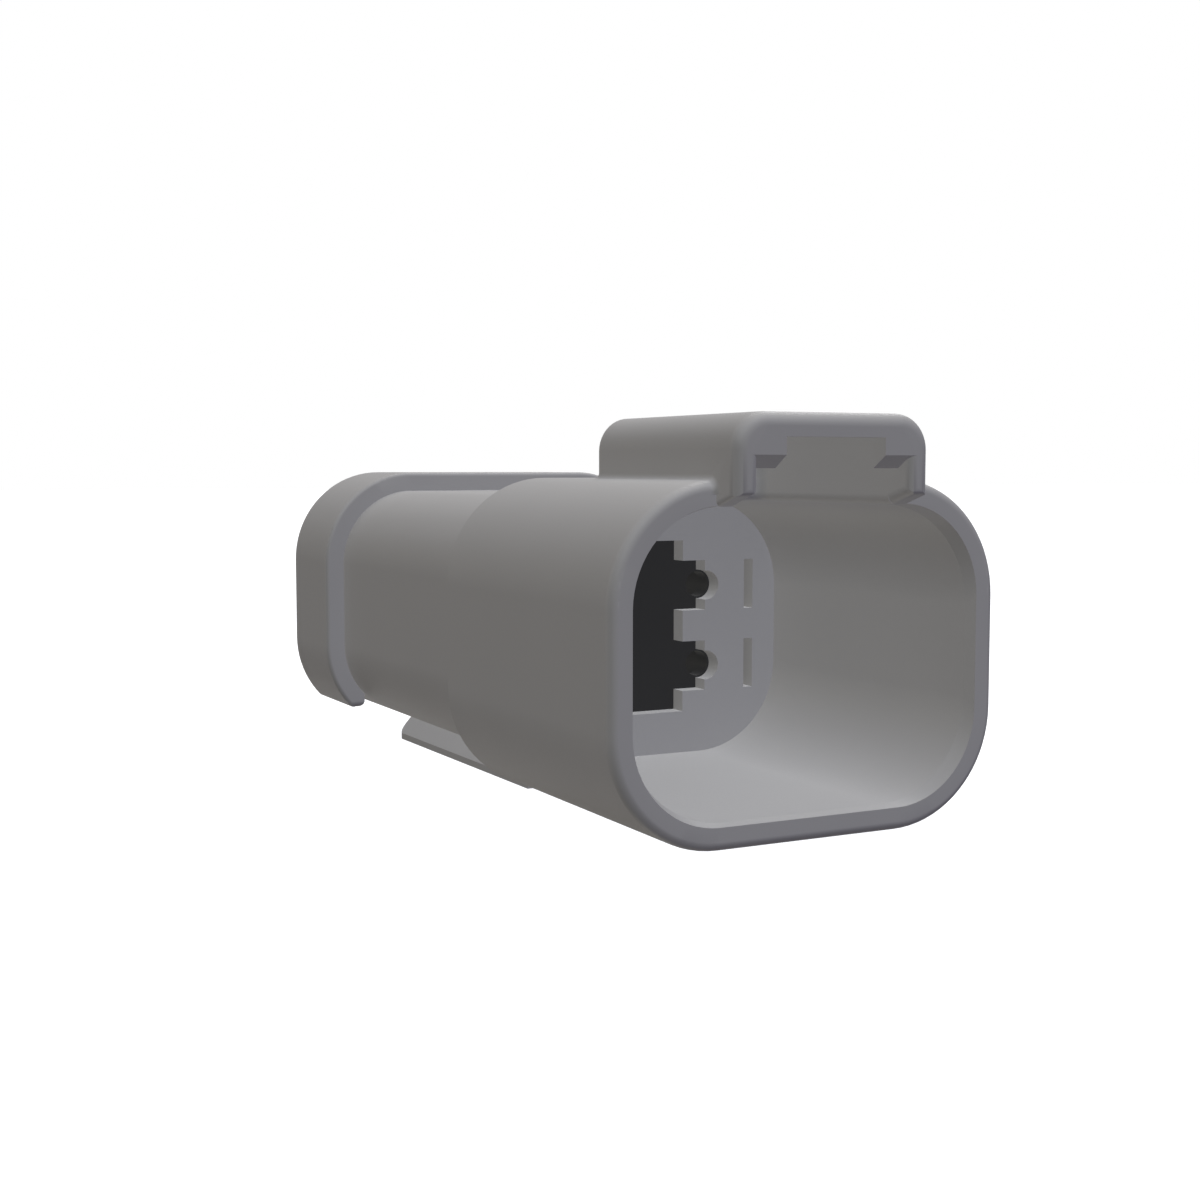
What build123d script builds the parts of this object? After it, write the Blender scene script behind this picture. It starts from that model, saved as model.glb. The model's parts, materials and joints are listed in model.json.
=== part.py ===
from build123d import *
from math import atan, cos, radians, sin, tan
import os

# Sealed four-way receptacle for a wiring harness, in millimetres.
# The mouth faces -Y with its rim at Y = 0, the wires leave at +Y, and +Z is up, towards the latch hood.

# Front shell, the mouth that takes the mating plug
shell_width = 24.9
shell_height = 19.7
shell_corner = 6.65
shell_length = 21.95
shell_wall = 1.33
rim_round = 0.55
lead_in_depth = 0.9
lead_in_step = 0.06
lead_in_corner_gain = 0.55
mouth_depth = 20.9

# Face plate at the bottom of the mouth
plate_thickness = 1.2
contact_x = 5.65
contact_z = 2.69
pin_hole = 1.95
lock_window_width = 7.75
lock_window_height = 11.4
finger_window_height = 3.32
finger_window_gap = 0.07
side_slot_width = 0.68
side_slot_offset = 3.33

# Body behind the shell
body_side_step = 0.15
body_top_step = 1.1
body_bottom_step = 2.0
body_corner = 5.3
body_wall = 1.4
body_length = 26.95

# Latch hood over the mouth
hood_width = 12.4
hood_rise = 3.55
hood_forward = 1.95
hood_back = 13.4
hood_corner = 1.95
hood_front_round = 0.75
hood_side_wall = 1.4
hood_roof = 0.85
hood_leg_rise = 0.62
hood_leg_inner_round = 0.6
hood_leg_outer_round = 0.3
hood_leg_front_round = 0.45
hood_foot_round = 0.35
latch_slot_end = 12.75
latch_slot_corner = 0.7
latch_slot_round = 0.55
latch_tunnel_end = 12.9
latch_tunnel_corner = 0.85
catch_window_width = 6.3
catch_window_drop = 0.45
catch_thickness = 1.08
catch_drop = 0.95
catch_ramp = 0.69
catch_flare = 0.5

# Rail under the body for a mounting clip
rail_front_width = 14.88
rail_rear_width = 15.54
rail_lip = 0.45
rail_below_shell = 0.1
rail_slope = 47.0
rail_overlap = 0.95
rail_length = 22.8
rail_end_round = 0.75

# Black carrier that holds the contacts
fit_gap = 0.1
carrier_length = 18.9
carrier_front_wall = 1.2
contact_bore = 3.3
carrier_pin_hole = 1.7
chamber_width = 5.4
chamber_height = 9.8
finger_slot = 0.4
finger_length = 7.6
finger_tooth = 0.45
finger_tooth_length = 1.8
finger_tooth_width = 2.0
finger_tooth_start = 3.4
key_width = 1.6
key_height = 0.6
entry_chamfer = 0.4

# Rubber wire seal
seal_relief = 0.45
seal_rib = 1.1
seal_rib_count = 3
seal_rib_bevel = 0.4
wire_bore = 3.0
wire_lip_reach = 0.5
wire_lip_count = 2

# Rear cap with its collar
cap_wall = 1.5
collar_stand = 1.4
collar_length = 7.8
collar_slip = 0.05
collar_edge_round = 0.3
collar_leg_lift = 0.62
collar_leg_inner = 21.7
collar_leg_round = 0.45
wire_hole = 4.0
wire_hole_chamfer = 0.3

# Snap lugs that hold the cap
lug_height = 0.4
lug_length = 1.8
lug_flat = 0.3
lug_root = 0.2
lug_width = 4.0
lug_from_rear = 3.9
lug_top_x = 4.0
lug_play = 0.1

# Places worked out from the sizes
mouth_width = shell_width - 2 * shell_wall
mouth_height = shell_height - 2 * shell_wall
mouth_corner = shell_corner - shell_wall
mouth_ceiling = mouth_height / 2 - lead_in_step
plate_rear = mouth_depth + plate_thickness
shell_top = shell_height / 2
latch_width = hood_width - 2 * hood_side_wall
latch_roof = shell_top + hood_rise - hood_roof
window_top = latch_roof - catch_window_drop
catch_rear = catch_thickness - hood_forward
body_width = shell_width - 2 * body_side_step
body_top = shell_top - body_top_step
body_bottom = -shell_top + body_bottom_step
body_height = body_top - body_bottom
body_z = (body_top + body_bottom) / 2
body_end = shell_length + body_length
pocket_width = body_width - 2 * body_wall
pocket_height = body_height - 2 * body_wall
pocket_corner = body_corner - body_wall
carrier_rear = plate_rear + carrier_length
cap_rear = body_end + cap_wall
collar_front = cap_rear - collar_length
contacts = [(x, z) for x in (-contact_x, contact_x) for z in (-contact_z, contact_z)]


def across(outline, front, rear):
    """An outline drawn in X and Z, carried along Y from front to rear."""
    return extrude(Plane.XZ.offset(-front) * outline, amount=front - rear)


def rounded(width, height, corner, z=0.0):
    """A rounded rectangle drawn in X and Z, centred on X = 0."""
    return Pos(0, z) * RectangleRounded(width, height, corner)


def cylinder(x, z, diameter, front, rear):
    """A round bar along Y."""
    return across(Pos(x, z) * Circle(diameter / 2), front, rear)


def front_shell():
    """The solid shell before its mouth is opened, with a rounded rim."""
    shell = across(rounded(shell_width, shell_height, shell_corner), 0, shell_length)
    return fillet(shell.faces().sort_by(Axis.Y)[0].edges(), rim_round)


def mouth():
    """The space inside the shell, with a short lead-in behind the rim."""
    rim = rounded(mouth_width, mouth_height, mouth_corner)
    inner_width = mouth_width - 2 * lead_in_step
    inner_height = mouth_height - 2 * lead_in_step
    inner = rounded(inner_width, inner_height, mouth_corner + lead_in_corner_gain)
    lead_in = loft([Plane.XZ * rim, Plane.XZ.offset(-lead_in_depth) * inner], ruled=True)
    return lead_in + across(inner, lead_in_depth, mouth_depth)


def plate_window():
    """The stepped window in the face plate, with a round notch at each contact and four side slots."""
    window = Rectangle(lock_window_width, lock_window_height)
    finger_reach = contact_x - finger_window_gap
    for x, z in contacts:
        side = 1 if x > 0 else -1
        window += Pos(side * finger_reach / 2, z) * Rectangle(finger_reach, finger_window_height)
        window += Pos(x, z) * Circle(pin_hole / 2)
        window += Pos(x + side * side_slot_offset, z) * Rectangle(side_slot_width, finger_window_height)
    return across(window, mouth_depth, plate_rear)


def hood_block():
    """The outside of the latch hood, down to the mouth's ceiling, with its front edge rounded."""
    top = shell_top + hood_rise
    outline = Pos(0, (mouth_ceiling + top) / 2) * Rectangle(hood_width, top - mouth_ceiling)
    outline = fillet(outline.vertices().group_by(Axis.Y)[-1], hood_corner)
    block = across(outline, -hood_forward, hood_back)
    front = block.faces().sort_by(Axis.Y)[0]
    return fillet(front.edges().sort_by(Axis.Z)[1:], hood_front_round)


def latch_plan(front, end, corner):
    """The latch's way seen from above, with rounded rear corners."""
    plan = Pos(0, (front + end) / 2) * Rectangle(latch_width, end - front)
    return fillet(plan.vertices().group_by(Axis.Y)[-1], corner)


def latch_entry():
    """The way in under the catches: rounded side edges, and a roof that ramps down to the rear."""
    low = mouth_ceiling - shell_wall
    plan = Pos(0, (catch_rear - hood_forward) / 2) * Rectangle(latch_width, catch_thickness)
    plan += Pos(0, catch_flare / 2 - hood_forward) * Rectangle(latch_width + 2 * catch_flare, catch_flare)
    for side in (-1, 1):
        plan -= Pos(side * (latch_width / 2 + catch_flare), catch_flare - hood_forward) * Circle(catch_flare)
    profile = Polyline(
        (-hood_forward, low),
        (-hood_forward, window_top - catch_drop),
        (catch_rear, window_top - catch_drop - catch_ramp),
        (catch_rear, low),
        close=True,
    )
    way = extrude(Plane.XY.offset(low) * plan, amount=window_top - low)
    return way & extrude(Plane.YZ * make_face(profile), amount=hood_width / 2, both=True)


def latch_channel():
    """The way for the plug's latch: a window between two catches, a tunnel and a slot below it."""
    low = mouth_ceiling - shell_wall
    window = Pos(0, (shell_top + window_top) / 2) * Rectangle(catch_window_width, window_top - shell_top)
    tunnel = latch_plan(catch_rear, latch_tunnel_end, latch_tunnel_corner)
    slot = latch_plan(-hood_forward, latch_slot_end, latch_slot_corner)
    channel = latch_entry() + across(window, -hood_forward, catch_rear)
    channel += extrude(Plane.XY.offset(shell_top) * tunnel, amount=latch_roof - shell_top)
    return channel + extrude(Plane.XY.offset(low) * slot, amount=shell_top - low)


def slot_round():
    """The cut that rounds the lower edge of the slot in the shell's top wall."""
    half = latch_width / 2
    front = (half, 0, mouth_ceiling)
    path = FilletPolyline(
        front,
        (half, latch_slot_end, mouth_ceiling),
        (-half, latch_slot_end, mouth_ceiling),
        (-half, 0, mouth_ceiling),
        radius=latch_slot_corner,
    )
    size = 2 * latch_slot_round
    section = Rectangle(size, size) - Pos(latch_slot_round, latch_slot_round) * Circle(latch_slot_round)
    return sweep(Plane(front, z_dir=(0, -1, 0), x_dir=(1, 0, 0)) * section, path)


def under_hood():
    """The air under the hood's front, where two rounded legs slant up from the mouth's ceiling."""
    slant = Plane((0, 0, mouth_ceiling), x_dir=(1, 0, 0), z_dir=(0, -hood_forward, hood_leg_rise))
    depth = 2 * shell_wall
    leg = Pos((hood_width - hood_side_wall) / 2, depth) * Rectangle(hood_side_wall, 2 * depth)
    leg = fillet(leg.vertices().group_by(Axis.Y)[0].sort_by(Axis.X)[0], hood_leg_inner_round)
    leg = fillet(leg.vertices().group_by(Axis.Y)[0].sort_by(Axis.X)[-1], hood_leg_outer_round)
    section = Pos(0, hood_leg_inner_round - depth / 2) * Rectangle(hood_width + depth, depth)
    section -= leg
    section -= mirror(leg, about=Plane.YZ)
    air = extrude(slant * section, amount=2 * hood_forward, both=True)
    return air & Pos(0, -hood_forward, 0) * Box(2 * hood_width, 2 * hood_forward, 2 * shell_height)


def leg_front_round():
    """The cut that rounds the lower front edge of both legs."""
    lean = atan(hood_leg_rise / hood_forward)
    middle_y = hood_leg_front_round - hood_forward
    middle_z = mouth_ceiling - middle_y * tan(lean) + hood_leg_front_round / cos(lean)
    touch = middle_y - hood_leg_front_round * sin(lean)
    corner = Rectangle(touch + 2 * hood_forward, middle_z - mouth_ceiling)
    section = Pos(touch / 2 - hood_forward, (mouth_ceiling + middle_z) / 2) * corner
    section -= Pos(middle_y, middle_z) * Circle(hood_leg_front_round)
    return extrude(Plane.YZ * section, amount=hood_width, both=True)


def near(edge, y, z):
    """True for an edge whose middle lies at this Y and Z."""
    middle = edge.center()
    return abs(middle.Y - y) < 0.05 and abs(middle.Z - z) < 0.05


def shell_with_hood():
    """The shell and its hood in one, filleted at the foot, with the mouth and the latch way open."""
    shell = front_shell() + hood_block()
    foot = [edge for edge in shell.edges() if near(edge, (rim_round + hood_back) / 2, shell_top)]
    heel = [edge for edge in shell.edges() if near(edge, hood_back, shell_top)]
    shell = fillet(foot + heel, hood_foot_round)
    shell -= mouth()
    shell -= latch_channel()
    shell -= slot_round()
    shell -= under_hood()
    return shell - leg_front_round()


def clip_rail():
    """The rail under the body: it widens to the rear, and a slope runs from each upright lip to the body."""
    front = shell_length - rail_overlap
    low = -shell_top - rail_below_shell
    shoulder = low + rail_lip
    root = body_bottom + body_wall / 2
    half = rail_front_width / 2
    spread = (rail_rear_width - rail_front_width) / 2
    plan = Polyline(
        (-half, front),
        (half, front),
        (half + spread, front + rail_length),
        (-half - spread, front + rail_length),
        close=True,
    )
    plan = make_face(plan)
    plan = fillet(plan.vertices().group_by(Axis.Y)[-1], rail_end_round)
    rail = extrude(Plane.XY.offset(low) * plan, amount=root - low)
    rise = root + body_wall - shoulder
    slope = Polyline(
        (half, shoulder),
        (half + rise, shoulder),
        (half + rise, shoulder + rise),
        (half - rise / tan(radians(rail_slope)), shoulder + rise),
        close=True,
    )
    face = Plane.XZ.offset(-front) * make_face(slope)
    cut = extrude(face, amount=2 * rail_length, dir=(spread, rail_length, 0))
    return rail - cut - mirror(cut, about=Plane.YZ)


def snap_lugs(play=0.0):
    """The wedges on the body that the cap snaps over, or with play the pockets that take them."""
    front = body_end - lug_from_rear
    ramp = Polyline(
        (front - play, -lug_root),
        (front - play, lug_height + play),
        (front + lug_flat + play, lug_height + play),
        (front + lug_length + play, -lug_root),
        close=True,
    )
    wedge = extrude(Plane.YZ * make_face(ramp), amount=lug_width / 2 + play, both=True)
    top = Pos(0, 0, body_top) * wedge
    side = Pos(body_width / 2, 0, body_z) * Rot(0, 90, 0) * wedge
    return [Pos(-lug_top_x, 0, 0) * top, Pos(lug_top_x, 0, 0) * top, side, mirror(side, about=Plane.YZ)]


def make_housing():
    """One grey moulding: shell, face plate, body, latch hood and clip rail."""
    body = across(rounded(body_width, body_height, body_corner, body_z), mouth_depth, body_end)
    housing = shell_with_hood() + body + clip_rail()
    housing += snap_lugs()
    housing -= plate_window()
    housing -= across(rounded(pocket_width, pocket_height, pocket_corner, body_z), plate_rear, body_end)
    key = Pos(0, body_bottom + body_wall + key_height / 2) * Rectangle(key_width, key_height)
    return housing + across(key, plate_rear, carrier_rear)


def carrier_finger_cuts(x, z):
    """The slots that free one retention finger between its contact and the chamber."""
    side = 1 if x > 0 else -1
    reach = contact_x - chamber_width / 2
    middle = side * (contact_x - reach / 2)
    start = plate_rear + carrier_front_wall
    slots = Pos(middle, z + contact_bore / 2) * Rectangle(reach, finger_slot)
    slots += Pos(middle, z - contact_bore / 2) * Rectangle(reach, finger_slot)
    tip = Pos(middle, z) * Rectangle(reach, contact_bore)
    return across(slots, start, start + finger_length) + across(tip, start, start + finger_slot)


def carrier_tooth(x, z):
    """The tooth on a retention finger that snaps in behind the contact's shoulder."""
    side = 1 if x > 0 else -1
    front = plate_rear + carrier_front_wall + finger_tooth_start
    wall = contact_x - contact_bore / 2
    outline = Polyline(
        (side * (wall - finger_tooth), front),
        (side * (wall + finger_tooth), front),
        (side * (wall - finger_tooth), front + finger_tooth_length),
        close=True,
    )
    return Pos(0, 0, z) * extrude(make_face(outline), amount=finger_tooth_width / 2, both=True)


def make_carrier():
    """The black carrier: four contact bores, each with a retention finger that bends into the chamber."""
    width = pocket_width - 2 * fit_gap
    height = pocket_height - 2 * fit_gap
    shoulder = plate_rear + carrier_front_wall
    carrier = across(rounded(width, height, pocket_corner - fit_gap, body_z), plate_rear, carrier_rear)
    carrier -= across(Rectangle(chamber_width, chamber_height), shoulder, carrier_rear)
    for x, z in contacts:
        carrier -= cylinder(x, z, carrier_pin_hole, plate_rear, shoulder)
        carrier -= cylinder(x, z, contact_bore, shoulder, carrier_rear)
        carrier -= carrier_finger_cuts(x, z)
        carrier += carrier_tooth(x, z)
    groove = Rectangle(key_width + 2 * fit_gap, 2 * (key_height + fit_gap))
    carrier -= across(Pos(0, body_bottom + body_wall) * groove, plate_rear, carrier_rear)
    rear = carrier.faces().sort_by(Axis.Y)[-1]
    entries = [edge for edge in rear.edges().filter_by(GeomType.CIRCLE) if edge.radius < contact_bore]
    return chamfer(entries, entry_chamfer)


def ribbed_bore(x, z):
    """The cutter for one wire hole in the seal: a bore pinched by evenly spaced lips."""
    length = body_end - carrier_rear
    radius = wire_bore / 2
    pitch = length / (wire_lip_count + 1)
    points = [(0, 0), (radius, 0)]
    for number in range(wire_lip_count):
        middle = pitch * (number + 1)
        points.append((radius, middle - wire_lip_reach))
        points.append((radius - wire_lip_reach, middle))
        points.append((radius, middle + wire_lip_reach))
    points += [(radius, length), (0, length)]
    bore = revolve(make_face(Polyline(*points, close=True)), Axis.Y)
    return Pos(x, carrier_rear, z) * bore


def make_seal():
    """The rubber wire seal: a block with bevelled ribs that meet the body's wall, and four wire holes."""
    width = pocket_width - 2 * seal_relief
    height = pocket_height - 2 * seal_relief
    seal = across(rounded(width, height, pocket_corner - seal_relief, body_z), carrier_rear, body_end)
    pitch = (body_end - carrier_rear) / seal_rib_count
    for number in range(seal_rib_count):
        front = carrier_rear + pitch * (number + 0.5) - seal_rib / 2
        rib = across(rounded(pocket_width, pocket_height, pocket_corner, body_z), front, front + seal_rib)
        ends = rib.faces().filter_by(Axis.Y)
        seal += chamfer(ends.edges(), seal_rib_bevel)
    for x, z in contacts:
        seal -= ribbed_bore(x, z)
    return seal


def collar():
    """The outside of the collar: an arch round the body's top and sides, with legs cut off flat."""
    width = body_width + 2 * collar_stand
    height = body_height + 2 * collar_stand
    leg_end = body_bottom + collar_leg_lift
    outline = rounded(width, height, body_corner + collar_stand, body_z)
    outline -= Pos(0, leg_end - height / 2) * Rectangle(2 * width, height)
    arch = across(outline, collar_front, cap_rear)
    rims = [edge for edge in arch.faces().filter_by(Axis.Y).edges() if edge.center().Z > leg_end + 0.01]
    arch = fillet(rims, collar_edge_round)
    gap = Pos(0, leg_end) * Rectangle(collar_leg_inner, 2 * body_corner)
    arch -= across(gap, collar_front, cap_rear)
    corners = [edge for edge in arch.edges().filter_by(Axis.Y) if abs(edge.center().Z - leg_end) < 0.01]
    return fillet(corners, collar_leg_round)


def make_cap():
    """The rear cap: an end wall with four wire holes and a collar over the body's top and sides."""
    inner_width = body_width + 2 * collar_slip
    inner_height = body_height + 2 * collar_slip
    inside = rounded(inner_width, inner_height, body_corner + collar_slip, body_z)
    cap = collar() - across(inside, collar_front, body_end)
    cap += across(rounded(body_width, body_height, body_corner, body_z), body_end, cap_rear)
    for pocket in snap_lugs(lug_play):
        cap -= pocket
    for x, z in contacts:
        cap -= cylinder(x, z, wire_hole, body_end, cap_rear)
    rear = cap.faces().sort_by(Axis.Y)[-1]
    circles = rear.edges().filter_by(GeomType.CIRCLE)
    holes = [edge for edge in circles if abs(edge.radius - wire_hole / 2) < 0.01]
    return chamfer(holes, wire_hole_chamfer)


def write(name, piece):
    """Writes one sub-part under its node's name."""
    export_step(piece, f"parts/{name}.step")
    box = piece.bounding_box()
    print(f"{name}: {len(piece.solids())} solid, {piece.volume:.0f} mm3,",
          f"X {box.min.X:.2f} to {box.max.X:.2f},",
          f"Y {box.min.Y:.2f} to {box.max.Y:.2f},",
          f"Z {box.min.Z:.2f} to {box.max.Z:.2f}")


os.makedirs("parts", exist_ok=True)
write("housing", make_housing())
write("contact_carrier", make_carrier())
write("wire_seal", make_seal())
write("rear_cap", make_cap())
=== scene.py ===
# %% [markdown]
# # A sealed harness connector, dressed for the studio
#
# The real object is a grey nylon moulding the length of a thumb. It has a wide mouth for the mating plug,
# a latch hood over the mouth, a rail for a mounting clip below, and a cap that holds a rubber seal round
# the wires at the rear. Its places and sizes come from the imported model. This lesson adds what a drawing
# does not hold: how the plastic and the rubber look, how light runs round a moulded edge, and where the
# photographer stood. Only the seal's small forms are given here by size.

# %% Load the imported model
import json

from math import radians

import bmesh
import bpy
from mathutils import Euler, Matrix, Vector


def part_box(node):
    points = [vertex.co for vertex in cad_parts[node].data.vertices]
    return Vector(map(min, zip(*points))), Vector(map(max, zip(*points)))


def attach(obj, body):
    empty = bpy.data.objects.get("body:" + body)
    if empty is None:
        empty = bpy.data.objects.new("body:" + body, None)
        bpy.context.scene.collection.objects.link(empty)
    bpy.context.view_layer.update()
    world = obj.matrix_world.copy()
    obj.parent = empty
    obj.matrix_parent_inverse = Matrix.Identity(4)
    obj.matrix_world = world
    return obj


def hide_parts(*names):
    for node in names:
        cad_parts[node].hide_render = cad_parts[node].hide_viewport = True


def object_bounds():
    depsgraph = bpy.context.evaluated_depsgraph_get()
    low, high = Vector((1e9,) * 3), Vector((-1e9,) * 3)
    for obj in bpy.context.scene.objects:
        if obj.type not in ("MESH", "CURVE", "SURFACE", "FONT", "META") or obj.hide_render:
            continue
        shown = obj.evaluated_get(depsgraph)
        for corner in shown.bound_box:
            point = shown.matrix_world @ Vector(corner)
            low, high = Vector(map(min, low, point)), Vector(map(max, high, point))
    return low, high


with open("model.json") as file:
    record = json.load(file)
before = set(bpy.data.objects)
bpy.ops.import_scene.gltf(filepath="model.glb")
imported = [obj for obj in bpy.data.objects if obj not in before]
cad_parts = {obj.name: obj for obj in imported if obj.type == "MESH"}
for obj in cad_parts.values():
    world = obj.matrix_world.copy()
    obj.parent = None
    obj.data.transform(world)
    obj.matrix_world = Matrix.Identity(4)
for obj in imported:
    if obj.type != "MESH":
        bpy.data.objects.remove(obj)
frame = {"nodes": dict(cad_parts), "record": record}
cad_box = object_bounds()
MM = 0.001
for name in sorted(frame["nodes"]):
    low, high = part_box(name)
    print(name, "is", [round((b - a) / MM, 2) for a, b in zip(low, high)], "mm")

# %% [markdown]
# ## The camera
#
# The photograph shows two strong vanishing directions, one along the connector and one across it.
# Together they fix the lens and the heading, and the mouth's width then fixes the distance. The camera
# could also be aimed at an empty with a Track To constraint, but a heading and a pitch say plainly where
# it looks and are easy to correct.

# %% Stand where the photographer stood
camera_place = Vector((-50.72, -73.66, 10.46)) * MM
heading = 27.117
pitch = 4.571
view_angle = 40.0
nearest_seen = 1 * MM

camera_data = bpy.data.cameras.new("studio_camera")
camera_data.sensor_fit = "HORIZONTAL"
camera_data.angle = radians(view_angle)
camera_data.clip_start = nearest_seen
camera = bpy.data.objects.new("studio_camera", camera_data)
camera.location = camera_place
camera.rotation_euler = Euler((radians(90 - pitch), 0, radians(-heading)))
bpy.context.scene.collection.objects.link(camera)
bpy.context.scene.camera = camera
print("camera is", round(camera_place.length / MM), "mm from the middle of the mouth")

# %% [markdown]
# ## Writing shader maths as expressions
#
# A moulded finish is mostly arithmetic on noise. Wiring Math nodes by hand hides that, so one small class
# wraps a socket and lets Python's own operators add the nodes. Any other node comes from a single method
# that takes the node's type, its settings and what its sockets hold.

# %% A value that can be added, subtracted and multiplied
class Reading:
    """A value somewhere in a finish's node tree."""

    def __init__(self, finish, socket):
        self.finish = finish
        self.socket = socket

    def math(self, operation, first, second):
        sockets = {"Value": first, "Value_001": second}
        return self.finish.node("ShaderNodeMath", {"operation": operation}, sockets)

    def __add__(self, other):
        return self.math("ADD", self, other)

    def __sub__(self, other):
        return self.math("SUBTRACT", self, other)

    def __rsub__(self, other):
        return self.math("SUBTRACT", other, self)

    def __mul__(self, other):
        return self.math("MULTIPLY", self, other)

    __radd__ = __add__
    __rmul__ = __mul__


# %% A finish and its nodes
class Finish:
    """A material whose surface is one Principled shader."""

    def __init__(self, name):
        self.material = bpy.data.materials.new(name)
        self.material.use_nodes = True
        self.tree = self.material.node_tree
        self.surface = self.tree.nodes["Principled BSDF"]

    def feed(self, socket, value):
        """Links a reading to a socket, or sets the socket to a plain value."""
        if isinstance(value, Reading):
            self.tree.links.new(value.socket, socket)
        else:
            socket.default_value = value

    def node(self, kind, settings, sockets, output=None):
        """Adds a node and returns the output that is named, or else its first."""
        node = self.tree.nodes.new(kind)
        for name, value in settings.items():
            setattr(node, name, value)
        by_name = {socket.identifier: socket for socket in node.inputs}
        for name, value in sockets.items():
            self.feed(by_name[name], value)
        outputs = {socket.identifier: socket for socket in node.outputs}
        return Reading(self, outputs[output] if output else node.outputs[0])

    def place(self):
        return self.node("ShaderNodeTexCoord", {}, {}, "Object")

    def noise(self, size, detail):
        """Noise whose lumps are about this many metres across."""
        sockets = {"Vector": self.place(), "Scale": 1 / size, "Detail": detail}
        return self.node("ShaderNodeTexNoise", {}, sockets)

    def blend(self, amount, first, second):
        """The first colour where the amount is 0, and the second where it is 1."""
        sockets = {"Factor_Float": amount, "A_Color": first, "B_Color": second}
        return self.node("ShaderNodeMix", {"data_type": "RGBA"}, sockets, "Result_Color")

    def set(self, **sockets):
        """Feeds sockets of the Principled shader, each named with underscores for spaces."""
        for name, value in sockets.items():
            self.feed(self.surface.inputs[name.replace("_", " ")], value)


def grey(shade):
    """A neutral colour, opaque, from a shade between 0 and 1."""
    return (shade, shade, shade, 1.0)


print("a neutral grey of one half is", grey(0.5))

# %% [markdown]
# ## The plastics and the rubber
#
# The grey housing is glass-filled nylon from a spark-eroded tool: matt, with a grain so shallow that it
# hardly shows, and with slow, faint clouds where the melt flowed. The black carrier is the
# same kind of plastic with a finer grain, and the seal is soft rubber, the most matt of the three. A
# picture could carry the grain too, but noise on Object coordinates needs no unwrapping and keeps its
# scale on every piece. So each finish is two close colours blended by slow noise, with a fine noise that
# moves the roughness and the bump together. A lens scatters a little of a white room's light over
# everything, so no black falls below a faint veil. A weak emission paints that veil into the two black
# finishes as a painted glow: light of their own, the same on every face and in every hollow.

# %% Mix the three finishes
cloud_detail = 2.0
grain_detail = 3.0
middle_of_noise = 0.5
roughness_swing = 0.12
bump_strength = 0.35


def moulded(name, light, dark, roughness, grain_size, grain_depth, cloud_size, refraction, painted_glow=0.0):
    """A moulded surface: slow clouds between two colours, a fine grain in roughness and height, and a
    painted glow where one is given.
    """
    finish = Finish(name)
    clouds = finish.noise(cloud_size, cloud_detail)
    grain = finish.noise(grain_size, grain_detail)
    swing = (grain - middle_of_noise) * roughness_swing
    relief = {"Strength": bump_strength, "Distance": grain_depth, "Height": grain}
    bump = finish.node("ShaderNodeBump", {}, relief)
    finish.set(Base_Color=finish.blend(clouds, dark, light), Roughness=swing + roughness, Normal=bump)
    # The emission is a painted glow: the surface gives out a little light of its own, evenly on every face.
    finish.set(IOR=refraction, Emission_Color=grey(1.0), Emission_Strength=painted_glow)
    print(name, "has a grain of", round(grain_size / MM, 2), "mm")
    return finish.material


nylon = moulded(
    "grey_nylon",
    light=(0.305, 0.300, 0.296, 1.0),
    dark=(0.290, 0.286, 0.282, 1.0),
    roughness=0.58,
    grain_size=0.16 * MM,
    grain_depth=0.006 * MM,
    cloud_size=9 * MM,
    refraction=1.42,
)
carrier_black = moulded(
    "black_nylon",
    light=grey(0.011),
    dark=grey(0.009),
    roughness=0.6,
    grain_size=0.12 * MM,
    grain_depth=0.005 * MM,
    cloud_size=6 * MM,
    refraction=1.22,
    # painted glow: the black carrier gives out a little light of its own, lifting it evenly
    painted_glow=0.0112,
)
seal_black = moulded(
    "black_rubber",
    light=grey(0.020),
    dark=grey(0.016),
    roughness=0.72,
    grain_size=0.09 * MM,
    grain_depth=0.004 * MM,
    cloud_size=3 * MM,
    refraction=1.3,
    # painted glow: the rubber gives out a little light of its own, lifting it evenly
    painted_glow=0.004,
)

# %% [markdown]
# ## Skins that shade smoothly
#
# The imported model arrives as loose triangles, and loose triangles show as flat facets round every moulded
# corner. The real moulding has true curves. Subdividing would soften its crisp edges too, so each rigid
# piece gets a skin instead: a copy with its corners merged, shaded smoothly except at real edges. A
# weighted normal then keeps the flat walls flat right up to where a rounded edge begins. The imported
# normals belong to the loose triangles, so the copy drops them first.
#
# The housing is the same on both sides of its middle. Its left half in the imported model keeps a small
# wedge under the hood's leg that the right half is free of, so its skin is the right half mirrored. One
# line is too slight for the angle that tells real edges: the lead-in behind the rim meets the mouth's
# wall at a crease, and is made sharp by its depth.

# %% Shade a piece and let it stand for a node
crisp_angle = 31.0
largest_faces_only = 100


def shade(piece, finish):
    """Smooth shading between crisp edges, with flat walls kept flat, and one finish all over."""
    piece.data.shade_smooth()
    piece.data.set_sharp_from_angle(angle=radians(crisp_angle))
    weighted = piece.modifiers.new("flat_walls", "WEIGHTED_NORMAL")
    weighted.keep_sharp = True
    weighted.weight = largest_faces_only
    piece.data.materials.clear()
    piece.data.materials.append(finish)


def stand_for(piece, node):
    """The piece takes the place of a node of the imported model."""
    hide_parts(node)
    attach(piece, "root")
    print(piece.name, "has", len(piece.data.vertices), "points")


# %% Lay a smooth skin over each rigid node
weld_distance = 0.0005 * MM
same_place = 0.001 * MM


def weld(work):
    """Merges corners that lie on each other."""
    bmesh.ops.remove_doubles(work, verts=work.verts, dist=weld_distance)


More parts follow.
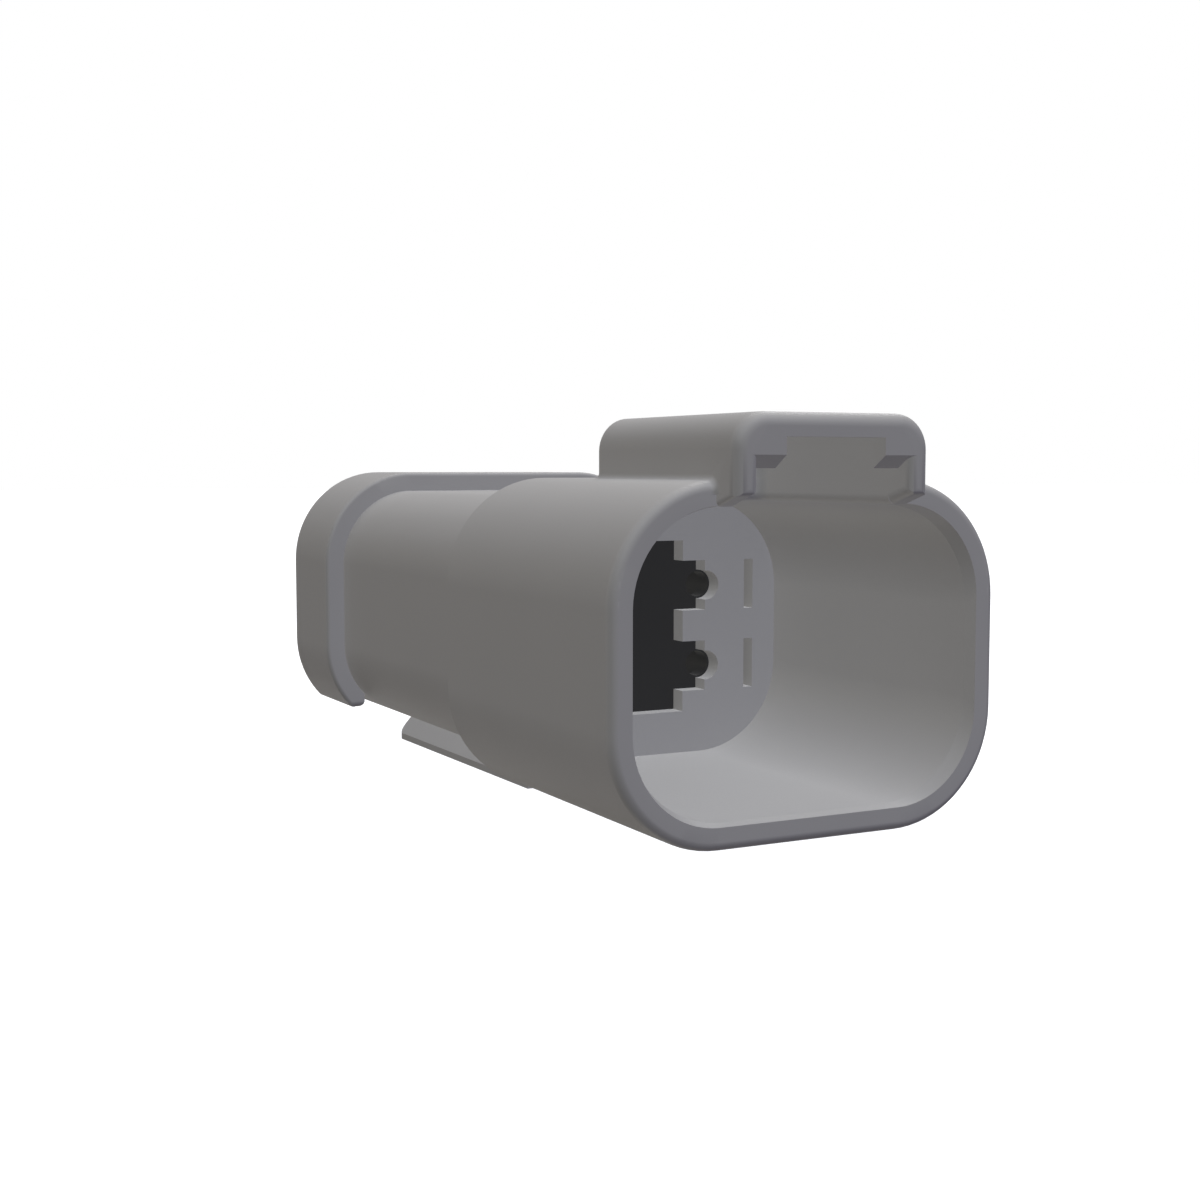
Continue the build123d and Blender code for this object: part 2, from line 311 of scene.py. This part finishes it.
def skin(node, finish, mirrored=False):
    """A merged, smoothly shaded copy of one rigid node, with its right half on both sides if mirrored."""
    mesh = frame["nodes"][node].data.copy()
    if "custom_normal" in mesh.attributes:
        mesh.attributes.remove(mesh.attributes["custom_normal"])
    work = bmesh.new()
    work.from_mesh(mesh)
    weld(work)
    if mirrored:
        everything = [*work.verts, *work.edges, *work.faces]
        bmesh.ops.symmetrize(work, input=everything, direction="X", dist=same_place)
    work.to_mesh(mesh)
    work.free()
    piece = bpy.data.objects.new(node + "_skin", mesh)
    bpy.context.scene.collection.objects.link(piece)
    shade(piece, finish)
    stand_for(piece, node)
    return piece


housing = skin("housing", nylon, mirrored=True)
skin("rear_cap", nylon)
skin("contact_carrier", carrier_black)


# %% Make the lead-in's end a crisp line
lead_in_end = 0.9 * MM


def crease(piece, depth):
    """Makes the edges that lie in the plane at this depth sharp."""
    points = piece.data.vertices
    found = 0
    for edge in piece.data.edges:
        if all(abs(points[end].co.y - depth) < same_place for end in edge.vertices):
            edge.use_edge_sharp = True
            found += 1
    print(piece.name, "has", found, "edges made sharp", round(depth / MM, 2), "mm in")


crease(housing, lead_in_end)

# %% [markdown]
# ## The wire seal
#
# The seal is a rubber block with ribs round it that press on the body's wall, and a wire hole with two
# lips for each contact. It repeats itself three times over: ribs along the block, holes across it, lips
# along each hole. Modelling every ring by hand would hide that rule, and so would copying them in a loop.
# Geometry Nodes state it instead: one rib carried along a line of points, one lip carried to each hole
# and then along it. A boolean union at the end makes the block, the ribs and the lips one closed skin,
# because rubber is moulded in one shot. The tree grows the seal standing up, with its length along Z, and
# lays it down at the end.

# %% A geometry tree with named sizes
class Grower:
    """A geometry tree whose sizes are named inputs."""

    def __init__(self, name, inputs):
        self.tree = bpy.data.node_groups.new(name, "GeometryNodeTree")
        self.sizes = {}
        for label, (kind, value) in inputs.items():
            socket = self.tree.interface.new_socket(label, in_out="INPUT", socket_type=kind)
            self.sizes[label] = (socket.identifier, value)
        self.tree.interface.new_socket("Geometry", in_out="OUTPUT", socket_type="NodeSocketGeometry")
        self.start = self.tree.nodes.new("NodeGroupInput")
        self.end = self.tree.nodes.new("NodeGroupOutput")

    def size(self, label):
        return self.start.outputs[label]

    def node(self, kind, settings, sockets):
        """Adds a node and returns its first output. A list gives every link of a joining socket."""
        node = self.tree.nodes.new(kind)
        for name, value in settings.items():
            setattr(node, name, value)
        for name, value in sockets.items():
            for part in value if isinstance(value, list) else [value]:
                if isinstance(part, bpy.types.NodeSocket):
                    self.tree.links.new(part, node.inputs[name])
                else:
                    node.inputs[name].default_value = part
        return node.outputs[0]

    def math(self, operation, first, second):
        return self.node("ShaderNodeMath", {"operation": operation}, {0: first, 1: second})

    def joined(self, parts):
        return self.node("GeometryNodeJoinGeometry", {}, {"Geometry": parts})

    def placed(self, points, piece):
        """A copy of the piece at each point, as geometry of its own."""
        copies = self.node("GeometryNodeInstanceOnPoints", {}, {"Points": points, "Instance": piece})
        return self.node("GeometryNodeRealizeInstances", {}, {"Geometry": copies})


# %% Name the seal's sizes
low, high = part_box("wire_seal")
middle = (low + high) / 2
mounts = frame["record"]["mounts"]
holes = [mount["pos_m"] for mount in mounts if mount["name"].startswith("wire_hole")]
across, up = [max(hole[axis] for hole in holes) - min(hole[axis] for hole in holes) for axis in (0, 2)]
hole_height = sum(hole[2] for hole in holes) / len(holes)
seal = Grower(
    "ribbed_seal",
    {
        "Width": ("NodeSocketFloat", high.x - low.x),
        "Height": ("NodeSocketFloat", high.z - low.z),
        "Length": ("NodeSocketFloat", high.y - low.y),
        "Corner": ("NodeSocketFloat", 3.9 * MM),
        "Relief": ("NodeSocketFloat", 0.45 * MM),
        "Rib": ("NodeSocketFloat", 0.55 * MM),
        "Ribs": ("NodeSocketInt", 3),
        "Hole": ("NodeSocketFloat", 1.5 * MM),
        "Across": ("NodeSocketFloat", across),
        "Up": ("NodeSocketFloat", up),
        "Drop": ("NodeSocketFloat", middle.z - hole_height),
        "Lip": ("NodeSocketFloat", 0.42 * MM),
        "Lips": ("NodeSocketInt", 2),
    },
)
print("the seal has", len(holes), "holes,", round(across / MM, 1), "by", round(up / MM, 1), "mm apart")

# %% Helpers for outlines, beads and rows
corner_points = 10
hole_points = 48
bead_points = 12


def along(length):
    """A vector of this length along the seal."""
    return seal.node("ShaderNodeCombineXYZ", {}, {"Z": length})


def outline(inset):
    """The seal's rounded outline, moved in by this much on every side."""
    twice = seal.math("MULTIPLY", inset, 2.0)
    width = seal.math("SUBTRACT", seal.size("Width"), twice)
    height = seal.math("SUBTRACT", seal.size("Height"), twice)
    corner = seal.math("SUBTRACT", seal.size("Corner"), inset)
    box = seal.node("GeometryNodeCurvePrimitiveQuadrilateral", {}, {"Width": width, "Height": height})
    rounding = {"Curve": box, "Count": corner_points, "Radius": corner}
    return seal.node("GeometryNodeFilletCurve", {"mode": "POLY"}, rounding)


def ring(radius, points):
    return seal.node("GeometryNodeCurvePrimitiveCircle", {}, {"Radius": radius, "Resolution": points})


def bead(path, radius):
    """A round bead along a path."""
    profile = ring(radius, bead_points)
    return seal.node("GeometryNodeCurveToMesh", {}, {"Curve": path, "Profile Curve": profile})


def row(count, parts, first, piece):
    """The piece repeated along the seal at each equal part, from this share of a part onwards."""
    pitch = seal.math("DIVIDE", seal.size("Length"), parts)
    start = along(seal.math("MULTIPLY", pitch, first))
    sockets = {"Count": count, "Start Location": start, "Offset": along(pitch)}
    return seal.placed(seal.node("GeometryNodeMeshLine", {"mode": "OFFSET"}, sockets), piece)


# %% Grow the block with its wire holes
grid = {"Size X": seal.size("Across"), "Size Y": seal.size("Up"), "Vertices X": 2, "Vertices Y": 2}
grid = seal.node("GeometryNodeMeshGrid", {}, grid)
drop = seal.node("ShaderNodeCombineXYZ", {}, {"Y": seal.size("Drop")})
places = seal.node("GeometryNodeTransform", {}, {"Geometry": grid, "Translation": drop})
hole = ring(seal.size("Hole"), hole_points)
outlines = seal.joined([outline(seal.size("Relief")), seal.placed(places, hole)])
face = seal.node("GeometryNodeFillCurve", {"mode": "TRIANGLES"}, {"Curve": outlines})
depth = {"Mesh": face, "Offset Scale": seal.size("Length"), "Individual": False}
raised = seal.node("GeometryNodeExtrudeMesh", {}, depth)
base = seal.node("GeometryNodeFlipFaces", {}, {"Mesh": face})
pieces = seal.joined([raised, base])
merge = {"Geometry": pieces, "Distance": weld_distance}
block = seal.node("GeometryNodeMergeByDistance", {}, merge)
print("the block takes", len(seal.tree.nodes), "nodes")

# %% Add the ribs and the lips, and make one skin of them
rib = bead(outline(seal.size("Rib")), seal.size("Rib"))
ribs = row(seal.size("Ribs"), seal.size("Ribs"), 0.5, rib)
lips_at_holes = seal.placed(places, bead(hole, seal.size("Lip")))
lips = row(seal.size("Lips"), seal.math("ADD", seal.size("Lips"), 1.0), 1.0, lips_at_holes)
union = {"operation": "UNION", "solver": "MANIFOLD"}
whole = seal.node("GeometryNodeMeshBoolean", union, {"Mesh 2": [block, ribs, lips]})
lying = {"Geometry": whole, "Translation": (middle.x, low.y, middle.z), "Rotation": (radians(-90), 0, 0)}
whole = seal.node("GeometryNodeTransform", {}, lying)
whole = seal.node("GeometryNodeRealizeInstances", {}, {"Geometry": whole})
whole = seal.node("GeometryNodeSetMaterial", {}, {"Geometry": whole, "Material": seal_black})
seal.tree.links.new(whole, seal.end.inputs["Geometry"])
print("the seal's tree has", len(seal.tree.nodes), "nodes")


# %% Turn the tree into a plain mesh
def grown(name, grower):
    """The mesh that a tree grows, closed and with its faces outwards."""
    holder = bpy.data.objects.new(name + "_tree", bpy.data.meshes.new(name + "_tree"))
    bpy.context.scene.collection.objects.link(holder)
    modifier = holder.modifiers.new("grow", "NODES")
    modifier.node_group = grower.tree
    for identifier, value in grower.sizes.values():
        modifier[identifier] = value
    graph = bpy.context.evaluated_depsgraph_get()
    mesh = bpy.data.meshes.new_from_object(holder.evaluated_get(graph))
    bpy.data.objects.remove(holder)
    work = bmesh.new()
    work.from_mesh(mesh)
    weld(work)
    bmesh.ops.recalc_face_normals(work, faces=work.faces)
    work.to_mesh(mesh)
    work.free()
    piece = bpy.data.objects.new(name, mesh)
    bpy.context.scene.collection.objects.link(piece)
    return piece


seal_piece = grown("ribbed_wire_seal", seal)
shade(seal_piece, seal_black)
stand_for(seal_piece, "wire_seal")

# %% [markdown]
# ## The studio
#
# The photograph is lit from everywhere: hardly a cast shadow shows, the floor inside the mouth is as
# bright as the top, and only the tilt of a surface sets its tone. Area lamps would darken the hollows, so
# most of the lamps here are suns that cast no shadow. Two strong ones stand in front, weaker ones behind,
# and faint ones shine from below, cool in front and warm at the rear. One high sun behind does cast
# shadows, and keeps the hollows a little darker than the outside.

# %% Light it with suns
sun_width = 20.0


def sun(name, azimuth, elevation, strength, shadow=False):
    """A wide sun whose light comes from this azimuth, where 0 is behind, 90 the right and 180 the front."""
    data = bpy.data.lights.new(name, "SUN")
    data.energy = max(strength)
    data.color = [part / max(strength) for part in strength]
    data.use_shadow = shadow
    data.angle = radians(sun_width)
    lamp = bpy.data.objects.new(name, data)
    lamp.rotation_euler = Euler((radians(elevation - 90), 0, radians(-azimuth)))
    bpy.context.scene.collection.objects.link(lamp)


sun("high_front_sun", 135, 68, (1.56, 1.58, 1.73))
sun("front_left_sun", 225, 40, (1.39, 1.44, 1.47))
sun("rear_right_sun", 45, 40, (0.91, 0.92, 0.93))
sun("high_rear_sun", 45, 68, (0.83, 0.79, 0.72), shadow=True)
sun("rear_left_fill", 315, 10, (0.47, 0.44, 0.40))
sun("rear_under_fill", 0, -60, (0.62, 0.60, 0.55))
sun("low_rear_fill", 0, -25, (0.13, 0.13, 0.13))
sun("front_under_fill", 135, -25, (0.42, 0.43, 0.60))
print("the studio has", len(bpy.data.lights), "suns")

# %% [markdown]
# ## The room and the floor
#
# Behind the object the photograph is pure white. One white room would do that, but it would also flood
# the object with light and wash out the tones that the suns set. So the camera sees a white room, while
# the room sheds only a dim light. The floor is plain white paper with a faint glow, so it stays white
# under all the suns, and it throws no light back on the object.

# %% A room that looks white and lights dimly
dim_light = (0.11, 0.10, 0.10, 1.0)
world = bpy.data.worlds.new("white_room")
world.use_nodes = True
bpy.context.scene.world = world
room = world.node_tree
seen = room.nodes["Background"]
seen.inputs["Color"].default_value = grey(1.0)
ambient = room.nodes.new("ShaderNodeBackground")
ambient.inputs["Color"].default_value = dim_light
ray = room.nodes.new("ShaderNodeLightPath")
choice = room.nodes.new("ShaderNodeMixShader")
room.links.new(ray.outputs["Is Camera Ray"], choice.inputs["Fac"])
room.links.new(ambient.outputs[0], choice.inputs[1])
room.links.new(seen.outputs[0], choice.inputs[2])
room.links.new(choice.outputs[0], room.nodes["World Output"].inputs["Surface"])
bpy.context.scene.view_settings.view_transform = "Standard"
print("the room's own light is", dim_light[:3])

# %% Lay the paper
floor_size = 3.0
floor_height = cad_box[0][2]
floor_glow = 0.2
half = floor_size / 2
corners = [(-half, -half), (half, -half), (half, half), (-half, half)]
floor_mesh = bpy.data.meshes.new("floor")
floor_mesh.from_pydata([(x, y, floor_height) for x, y in corners], [], [(0, 1, 2, 3)])
floor = bpy.data.objects.new("floor", floor_mesh)
bpy.context.scene.collection.objects.link(floor)
paper = Finish("white_paper")
paper.set(Base_Color=grey(0.9), Roughness=0.95)
paper.set(Emission_Color=grey(1.0), Emission_Strength=floor_glow)
floor_mesh.materials.append(paper.material)
floor.visible_diffuse = False
floor.visible_glossy = False
print("floor lies at", round(floor_height / MM, 2), "mm")
